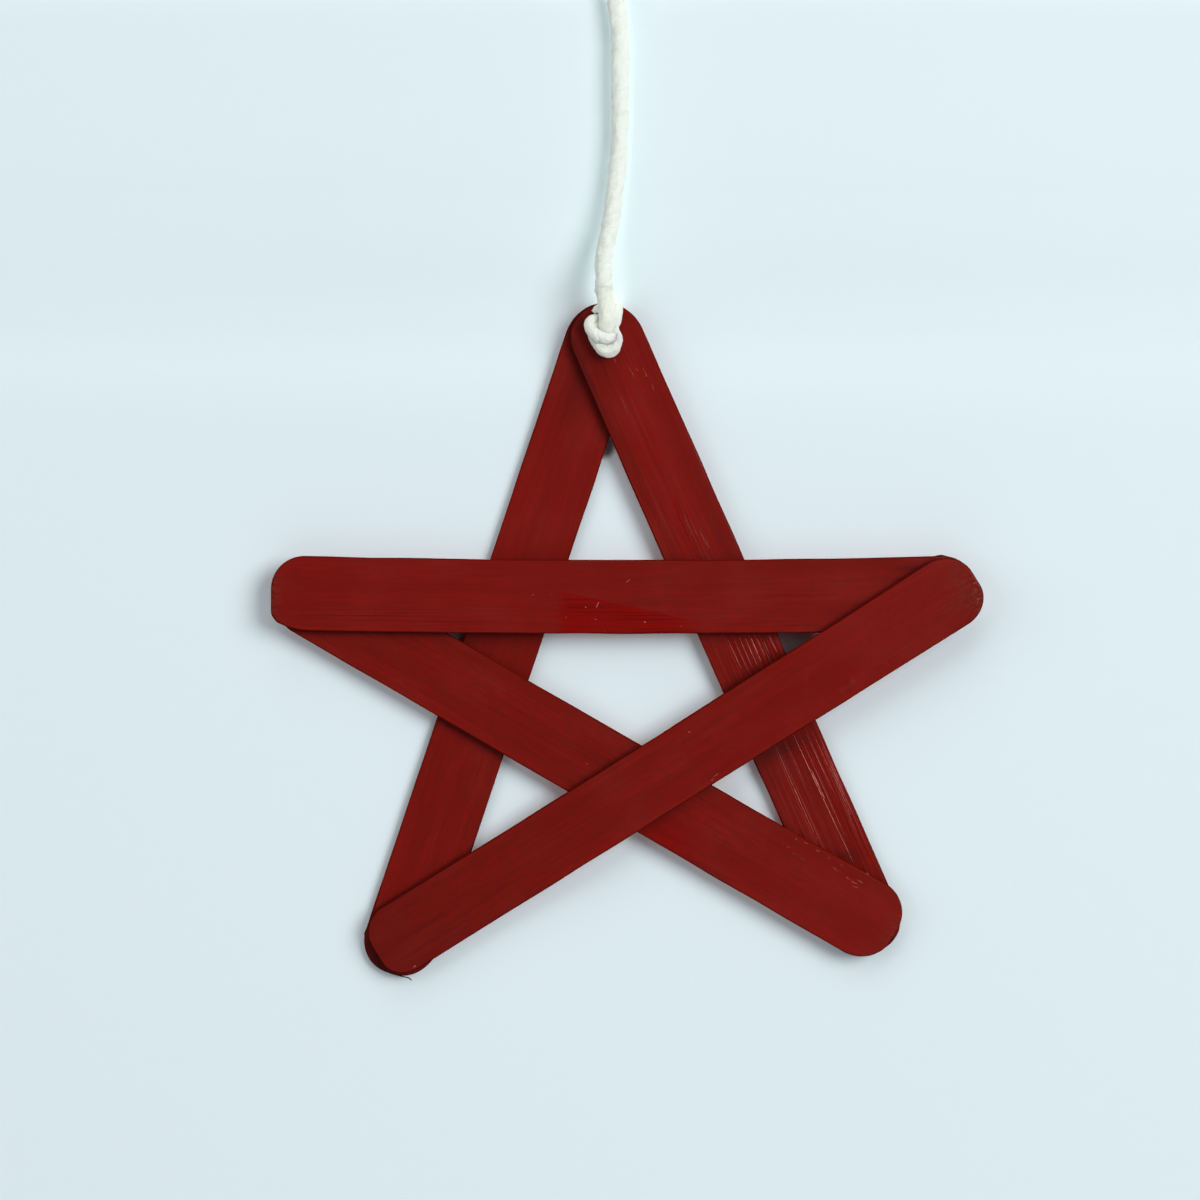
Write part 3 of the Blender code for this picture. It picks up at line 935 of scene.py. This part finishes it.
# Dents and pimples, by the photograph's pixels: how far they reach, and their height
Dent = namedtuple("Dent", "slat px py reach height")
DENTS = (
    Dent("slat_rising", 850, 683, 0.0008, 0.00015),
    Dent("slat_rising", 846, 690, 0.0007, -0.00012),
    Dent("slat_rising", 888, 663, 0.0005, -0.00008),
    Dent("slat_rising", 808, 678, 0.0005, -0.00012),
    Dent("slat_falling", 868, 884, 0.0008, 0.00004),
    Dent("slat_crossbar", 941, 557, 0.0006, 0.00020),
)

# Nubs on the slats' outlines, by the photograph's pixels: their reach, and how far they stand out
Nub = namedtuple("Nub", "slat px py reach out")
NUBS = (
    Nub("slat_crossbar", 941, 555, 0.0009, 0.00030),
    Nub("slat_left_leg", 364, 932, 0.0004, 0.00028),
    Nub("slat_crossbar", 277, 618, 0.0006, 0.00015),
    Nub("slat_right_leg", 902, 922, 0.0005, -0.00015),
)


def patch_strengths(slat, distances, sideways, kind):
    """How strongly each point of a slat's face shows one kind of patch."""
    shown = np.zeros(distances.shape)
    for px, py, along, across, strength in PATCHES[slat.name].get(kind, ()):
        d, a = slat.from_pixel(px, py)
        along, across = along / TENTHS, across / TENTHS
        apart = ((distances - d) / along) ** 2 + ((sideways - a) / across) ** 2
        shown = np.maximum(shown, strength * np.exp(-apart))
    return shown


# How finely the slats are cut: rows along them and columns across, between their rounded rims,
# and the steps, in degrees, of the rounds at their ends and of their edges
ROWS = 290
COLUMNS = 75
END_TURNS = np.arange(0, 90, 4.5)
EDGE_TURNS = [0, 22, 45, 67, 90]


def slat_grid(slat):
    """How far along and sideways each point of a slat's face is, as a grid, and how far it lies
    in from the slat's outline."""
    longest = max(along for _, along in slat.corners)
    past = longest * np.cos(np.radians(END_TURNS))
    first, last = slat.start + longest, slat.end - longest
    rows = np.r_[first - past, np.linspace(first, last, ROWS), (last + past)[::-1]]
    edge = EDGE_RADIUS * (1 - np.cos(np.radians(EDGE_TURNS)))
    half = slat.width / 2
    across = np.linspace(-half + edge[-1], half - edge[-1], COLUMNS)
    columns = np.r_[-half + edge[:-1], across, half - edge[-2::-1]] / half
    limits = []
    for side in (0, 1):
        first_corner, last_corner = slat.corners[side], slat.corners[2 + side]
        inward = corner_reach(slat.start + first_corner[1] - rows, first_corner)
        inward = np.maximum(inward, corner_reach(rows - slat.end + last_corner[1], last_corner))
        wave = ripples(rows / WAVE_LENGTH + 40, np.full(len(rows), 3.0 + side), slat.seed)
        limits.append(slat.half_width(rows) - inward + WAVERS * wave)
    for nub in NUBS:
        if nub.slat == slat.name:
            d, a = slat.from_pixel(nub.px, nub.py)
            limits[int(a > 0)] += nub.out * np.exp(-(((rows - d) / nub.reach) ** 2))
    low, high = -limits[0][:, None], limits[1][:, None]
    sideways = (low + high) / 2 + (high - low) / 2 * columns[None, :]
    distances = np.repeat(rows[:, None], len(columns), axis=1)
    return distances, sideways, np.maximum(0, slat.depth_inside(distances, sideways))


def ridges(slat, distances, sideways, kind):
    """How high one kind of the ridges of the bamboo's fibres is."""
    u, v = (distances + 0.3) / kind.length, (sideways + 0.03) / kind.width
    return kind.height * ripples(u, v, slat.seed + kind.number)


def face_relief(slat, distances, sideways):
    """How far the face stands proud: the bamboo's low ridges, and dents and pimples."""
    ridged = patch_strengths(slat, distances, sideways, "ridged")
    relief = ridges(slat, distances, sideways, FINE_RIDGES)
    relief += ridges(slat, distances, sideways, BROAD_RIDGES)
    relief += ridged * ridges(slat, distances, sideways, SHARP_RIDGES)
    for dent in DENTS:
        if dent.slat == slat.name:
            d, a = slat.from_pixel(dent.px, dent.py)
            apart = ((distances - d) ** 2 + (sideways - a) ** 2) / dent.reach**2
            relief += dent.height * np.exp(-apart)
    return relief


def wetness(slat, distances, sideways):
    """Where the paint looks wet: patches, and the crossbar's part below a straight line."""
    wet = patch_strengths(slat, distances, sideways, "wet")
    if slat.name == "slat_crossbar":
        (d0, a0), (d1, a1) = slat.from_pixel(*WET_FROM), slat.from_pixel(*WET_TO)
        line = a0 + (a1 - a0) * (distances - d0) / (d1 - d0)
        below = eased((line - sideways) / WET_EDGE)
        along = eased((distances - d0) / WET_ENDS[0]) * eased((d1 - distances) / WET_ENDS[1])
        wet = np.maximum(wet, below * along)
    return wet


def lap_shade(x, z, upper_slats):
    """How dark the painted shade leaves a slat's face along the slats laid over it, darker on their
    left and lower sides, where their shadows fall."""
    shade = np.zeros(x.shape)
    for upper in upper_slats:
        right, above = x - upper.middle.x, z - upper.middle.y
        distances = right * upper.along.x + above * upper.along.y
        sideways = right * upper.aside.x + above * upper.aside.y - upper.sways(distances)
        side = np.where(sideways > 0, 1, -1)
        lighter = side * (LAP_SHADE_LEFT * upper.aside.x + LAP_SHADE_BELOW * upper.aside.y)
        strength = LAP_SHADE - lighter
        outside = np.minimum(0, upper.depth_inside(distances, sideways))
        shade = np.maximum(shade, strength * np.exp(outside / LAP_SHADE_REACH))
    return shade


def add_slat(slat, upper_slats, materials):
    """A slat with its round edges and the low ridges of the bamboo's fibres."""
    distances, sideways, rim = slat_grid(slat)
    inside = np.clip(EDGE_RADIUS - rim, 0, EDGE_RADIUS)
    drop = EDGE_RADIUS - np.sqrt(EDGE_RADIUS**2 - inside**2)
    x, z = slat.place(distances, sideways)
    back_y = BACK_FACE_Y - slat.height(distances)
    inner = eased(rim / (2 * EDGE_RADIUS))
    relief = face_relief(slat, distances, sideways)
    front_y = back_y - SLAT_THICKNESS + drop - relief * inner
    behind_y = back_y - drop + ridges(slat, distances, sideways, BACK_RIDGES) * inner
    points = np.concatenate([rows_of(x, front_y, z), rows_of(x, behind_y, z)])
    count, columns = rim.size, rim.shape[1]
    index = np.arange(count).reshape(rim.shape)
    faces = []
    for a in index[:-1, :-1].ravel().tolist():
        quad = (a, a + columns, a + columns + 1, a + 1)
        faces += [quad, tuple(count + k for k in reversed(quad))]
    sides = index[:, 0], index[-1, 1:], index[-2::-1, -1], index[0, -2:0:-1]
    around = np.concatenate(sides).tolist()
    for a, b in zip(around, around[1:] + around[:1]):
        faces.append((b, a, count + a, count + b))
    plain, streaky = np.zeros(rim.shape), np.full(rim.shape, STREAKED[slat.name])
    shown = {"rim": rim, "wet": wetness(slat, distances, sideways)}
    for kind in ("ridged", "worn", "clean", "fresh", "dark", "streaked"):
        shown[kind] = patch_strengths(slat, distances, sideways, kind)
    # Painted shade along the slats laid over this one
    shown["dark"] = np.maximum(shown["dark"], lap_shade(x, z, upper_slats))
    shown["streaked"] = np.maximum(shown["streaked"], streaky)
    behind = {"rim": rim, "streaked": streaky}
    grain = rows_of(distances, sideways, slat.seed * 3.7)
    attributes = {"grain": np.concatenate([grain, grain + [0.4, 0.05, 0]])}
    for key, face in shown.items():
        attributes[key] = np.r_[face.ravel(), behind.get(key, plain).ravel()]
    piece = mesh_object(f"painted_{slat.name}", points, faces, attributes, *materials)
    matte = [int(max(attributes["rim"][list(face)]) < MATTE_RIM) for face in faces]
    piece.data.polygons.foreach_set("material_index", matte)
    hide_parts(slat.name)
    return piece


# Fine marks in the slats' paint, and on the right leg painted glints of the sheen on its ridges, by
# the photograph's pixels: from where to where, how wide in the middle, in hundredths of a
# millimetre, and how strong
PALE_MARKS_AND_GLINTS = {
    "slat_crossbar": (
        (626, 583, 630, 579, 26, 0.6), (596, 608, 599, 602, 26, 0.8),
        (585, 607, 586.5, 607.5, 32, 0.7), (565.5, 617, 567, 617.5, 30, 0.5),
        (644, 622, 646, 622.3, 40, 1.0), (594, 619, 597, 620, 20, 0.35),
        (532, 595, 534, 594.5, 26, 0.4), (551, 595, 552, 594.5, 20, 0.3),
        (680, 626, 682, 626.5, 24, 0.4),
    ),
    "slat_rising": (
        (713.5, 777, 718, 773.5, 30, 0.6), (711, 780.5, 713, 779, 30, 0.6),
        (688.5, 732.5, 690, 731.5, 32, 0.6), (413, 967.5, 416, 965.5, 30, 0.9),
        (973, 584, 976, 582, 22, 0.4), (975, 591, 977, 589, 26, 0.5),
        (977, 598, 979, 600, 26, 0.5),
    ),
    "slat_falling": (
        (586.5, 764, 588, 763.5, 28, 0.5), (792, 853, 799, 856, 20, 0.15),
        (800, 858, 805, 860, 24, 0.18), (786, 846, 790, 848, 30, 0.12),
        (833, 867, 838, 872, 30, 0.22), (846, 877, 851, 880, 34, 0.25),
        (851, 881, 857, 884, 36, 0.32), (857, 879.5, 863, 883, 26, 0.42),
        (852, 886, 859, 888, 34, 0.20), (866, 873, 869, 875, 24, 0.20),
        (795, 838, 798, 841, 28, 0.25), (804, 842, 808, 844, 28, 0.22),
        (816, 850, 820, 852, 30, 0.22), (827, 857, 830, 859, 26, 0.16),
        (840, 864, 843, 866, 24, 0.16),
    ),
    # The right leg's pale marks are painted glints along its ridges
    "slat_right_leg": (
        (629, 366, 631.5, 372, 22, 0.30), (632, 372, 634, 377, 26, 0.35),
        (636, 368, 638, 372, 24, 0.22), (643, 368, 644.5, 372, 24, 0.25),
        (645, 372, 647, 377, 26, 0.32), (652, 385, 654, 391, 22, 0.15),
        (614, 358, 616, 363, 30, 0.20), (620, 395, 628, 414, 14, 0.18),
        (684, 516, 692, 536, 12, 0.3), (691, 520, 698, 538, 12, 0.3),
        (700, 530, 706, 545, 14, 0.35), (705, 538, 709, 549, 12, 0.3),
        (728, 640, 741, 668, 20, 0.5), (734, 640, 748, 671, 14, 0.4),
        (739, 637, 752, 667, 18, 0.45), (745, 638, 757, 665, 18, 0.5),
        (751, 638, 761, 661, 26, 0.9), (757, 638, 765, 656, 18, 0.5),
        (763, 640, 770, 655, 16, 0.45), (769, 636, 777, 652, 34, 0.35),
        (775, 745, 818, 842, 20, 0.55), (793, 734, 853, 862, 24, 0.8),
        (811, 769, 825, 799, 24, 0.9), (800, 735, 846, 838, 14, 0.35),
        (806, 733, 832, 790, 18, 0.45), (812, 731, 838, 788, 18, 0.45),
        (819, 736, 844, 790, 16, 0.4), (823, 748, 852, 812, 20, 0.45),
        (829, 765, 851, 815, 22, 0.45), (836, 785, 857, 832, 14, 0.35),
        (785, 740, 806, 787, 14, 0.3),
    ),
}
DARK_MARKS = {
    "slat_rising": (
        (807, 676.5, 809, 679.5, 30, 0.6), (884.5, 664, 886.5, 665.5, 30, 0.6),
        (775.5, 674.5, 776.5, 675.5, 26, 0.6),
    ),
    "slat_crossbar": (
        (300, 615, 440, 616, 20, 0.6), (310, 609, 420, 609.5, 16, 0.5),
        (330, 620, 520, 622, 16, 0.5), (540, 617, 640, 618, 16, 0.5),
        (548, 610, 625, 611, 14, 0.5), (552, 605, 600, 606, 12, 0.4),
        (575, 626, 700, 630, 16, 0.5),
    ),
}


# How long a step along a mark is, how far its middle stands proud, and how far its sides are sunk
MARK_STEP = 0.0006
MARK_PROUD = 0.00003
MARK_SUNK = 0.00002


def add_marks(name, laid, marks, material):
    """Slivers that lie just proud of the slats' faces, pointed at both ends."""
    points, faces, grain, strengths = [], [], [], []
    rows = [(laid[name], *mark) for name, group in marks.items() for mark in group]
    for number, (slat, px0, py0, px1, py1, width, strength) in enumerate(rows):
        (d0, a0), (d1, a1) = slat.from_pixel(px0, py0), slat.from_pixel(px1, py1)
        share = np.linspace(0, 1, max(5, int(abs(d1 - d0) / MARK_STEP)))
        uneven = 1 + 0.5 * ripples(share * 9 + number, np.full(len(share), number + 0.5), 5)
        tapered = np.sqrt(np.sin(math.pi * np.clip(share, 0.03, 0.97)))
        half = width / HUNDREDTHS / 2 * tapered * uneven
        length = math.hypot(d1 - d0, a1 - a0)
        across = Vector((a0 - a1, d1 - d0)) / length
        start = len(points)
        for side, proud in ((-1, -MARK_SUNK), (0, MARK_PROUD), (1, -MARK_SUNK)):
            d = d0 + (d1 - d0) * share + side * half * across.x
            a = a0 + (a1 - a0) * share + side * half * across.y
            x, z = slat.place(d, a)
            relief = face_relief(slat, d, a)
            y = BACK_FACE_Y - slat.height(d) - SLAT_THICKNESS - relief - proud
            points += rows_of(x, y, z).tolist()
            grain += rows_of(d, a, number).tolist()
            strengths += [strength] * len(d)
        count = len(share)
        for side in range(2):
            for k in range(count - 1):
                a = start + side * count + k
                faces.append((a, a + 1, a + count + 1, a + count))
    attributes = {"grain": np.array(grain), "strength": np.array(strengths)}
    piece = mesh_object(name, np.array(points), faces, attributes, material)


# The loose fibre at the lower left tip, by the photograph's pixels
FIBRE = ((378, 967), (388, 972), (397, 975), (404, 976.8), (408.5, 977.8), (411.7, 980.4))
FIBRE_RADIUS = 0.00012
FIBRE_STEP = 0.0003


def add_fibre(slat, material):
    """A fibre that has come off along the lower left tip's rim."""
    stations = []
    for px, py in FIBRE:
        x, z = slat.place(*slat.from_pixel(px, py))
        stations.append((x, BACK_FACE_Y - SLAT_THICKNESS, z, FIBRE_RADIUS, FIBRE_RADIUS, 0))
    route = smooth_route(stations, FIBRE_STEP)
    points, faces, attributes = tube(route, sides=8, lay=1, groove=0)
    attributes = {"grain": attributes["fibre"], "strength": np.ones(len(points))}
    mesh_object("loose_fibre", points, faces, attributes, material)


def cut_hole(piece):
    """Bores the cord's hole through a slat."""
    bpy.ops.mesh.primitive_cylinder_add(
        vertices=64,
        radius=HOLE_DIAMETER / 2,
        depth=8 * SLAT_THICKNESS,
        location=(HOLE_X, BACK_FACE_Y, HOLE_Z),
        rotation=(math.pi / 2, 0, 0),
    )
    cutter = bpy.context.object
    boolean = piece.modifiers.new("hole", "BOOLEAN")
    boolean.operation = "DIFFERENCE"
    boolean.solver = "EXACT"
    boolean.object = cutter
    graph = bpy.context.evaluated_depsgraph_get()
    cut = bpy.data.meshes.new_from_object(piece.evaluated_get(graph))
    piece.modifiers.clear()
    piece.data = cut
    bpy.data.objects.remove(cutter)


# The stage and the light


def card_material():
    """A pale card with no back: from behind, the star is seen through it."""
    material, shader, nodes = new_material("pale_card", 0.85, 0.2)
    position = nodes.add("NewGeometry", "Position")
    colour = nodes.scaled(nodes.attribute("paler"), PALE)
    # Painted shade: the card is darkened round the narrow corners between slats
    for px, py, reach in CARD_SHADED_CORNERS:
        offset = nodes.vector("SUBTRACT", position, (pixel_x(px), 0, pixel_z(py)))
        apart = nodes.vector("LENGTH", nodes.scaled(offset, (1, 0, 1)))
        colour = nodes.mix(nodes.range(apart, 0.5 * reach, reach, 1, 0), colour, CARD_PAINTED_SHADE)
    nodes.set(shader, {"Base Color": colour})
    behind = nodes.add("NewGeometry", "Backfacing")
    clear = nodes.add("BsdfTransparent", 0)
    surface = nodes.add("MixShader", 0, {0: behind, 1: shader.outputs[0], 2: clear})
    nodes.set(nodes.tree.nodes["Material Output"], {"Surface": surface})
    return material


def add_card():
    """A pale card that takes the star's shadow and casts none."""
    heights = np.arange(CARD_PROFILE[0][0], CARD_PROFILE[-1][0], CARD_STEP)
    depths = np.interp(heights, *zip(*CARD_PROFILE))
    depths = (np.r_[depths[0], depths[:-1]] + depths + np.r_[depths[1:], depths[-1]]) / 3
    sides = np.tile([-CARD_WIDTH / 2, CARD_WIDTH / 2], len(heights))
    points = rows_of(sides, np.repeat(depths, 2), np.repeat(heights, 2))
    faces = [(k, k + 1, k + 3, k + 2) for k in range(0, len(points) - 2, 2)]
    # Painted light: the card is paler where it leans forward, to make up for the light that falls
    # less on it there
    paler = 1 + CARD_EVENED * np.maximum(0, -np.gradient(depths, CARD_STEP))
    attributes = {"paler": np.repeat(paler, 6).reshape(-1, 3)}
    card = smooth_mesh("card", points, faces, attributes, card_material())
    card.visible_shadow = False


def add_stage():
    """A pale floor far below, that looks the same from every side and lights nothing, and the
    pale card behind the star."""
    bpy.ops.mesh.primitive_plane_add(size=FLOOR_SIZE, location=(0, 0, FLOOR_Z))
    floor = bpy.context.object
    floor.name = "floor"
    material, shader, nodes = new_material("pale_floor", 0.85, 0)
    glow = {"Emission Color": (*PALE, 1), "Emission Strength": FLOOR_GLOW}
    nodes.set(shader, {"Base Color": (0, 0, 0, 1), **glow})
    floor.data.materials.append(material)
    floor.visible_diffuse = False
    floor.visible_glossy = False
    floor.visible_shadow = False
    add_card()


def add_lamp(lamp):
    """A soft round lamp."""
    made = bpy.data.lights.new(lamp.name, "AREA")
    made.shape = "DISK"
    made.size = lamp.size
    direction = Vector(lamp.toward).normalized()
    facing = max(LEAST_FACING, -direction.y)
    made.energy = math.pi**2 * LAMP_DISTANCE**2 * lamp.share / facing
    holder = link(bpy.data.objects.new(lamp.name, made))
    holder.location = Vector(STAR_CENTRE) + LAMP_DISTANCE * direction
    holder.rotation_euler = (-direction).to_track_quat("-Z", "Y").to_euler()
    holder.visible_camera = False


def add_light():
    """The lamps, in a dim room that looks pale past the card's edges."""
    for lamp in LAMPS:
        add_lamp(lamp)
    world = bpy.data.worlds.new("pale_room")
    bpy.context.scene.world = world
    nodes = Nodes(world)
    seen = nodes.add("LightPath", "Is Camera Ray")
    strength = nodes.add("MapRange", 0, {"Value": seen, "To Min": ROOM_LIGHT, "To Max": 1})
    nodes.set(nodes.tree.nodes["Background"], {"Color": (*ROOM, 1), "Strength": strength})


add_camera()
bpy.context.scene.view_settings.view_transform = "Standard"
cotton = cotton_material()
cord, cord_path, cord_length = add_cord(cotton)
star_knot = add_star_knot(cotton)
loop_knot = add_loop_knot(cotton)

paints = [
    paint_material("red_paint_worn", roughness=0.32, specular=0.24),
    paint_material("red_paint_matte_rim", roughness=0.8, specular=0),
]
laid_slats = lay_slats()
from_back = list(laid_slats.values())
for number, laid_slat in enumerate(from_back):
    painted = add_slat(laid_slat, from_back[number + 1 :], paints)
    if "leg" in laid_slat.name:
        cut_hole(painted)
pale_glint_and_fleck = fleck_material("pale_flecks", "pale_glint_and_fleck", 0.3)
dark_fleck = fleck_material("dark_flecks", "dark_fleck", 0)
add_marks("pale_marks", laid_slats, PALE_MARKS_AND_GLINTS, pale_glint_and_fleck)
add_marks("dark_marks", laid_slats, DARK_MARKS, dark_fleck)
add_fibre(laid_slats["slat_left_leg"], dark_fleck)

add_stage()
add_light()
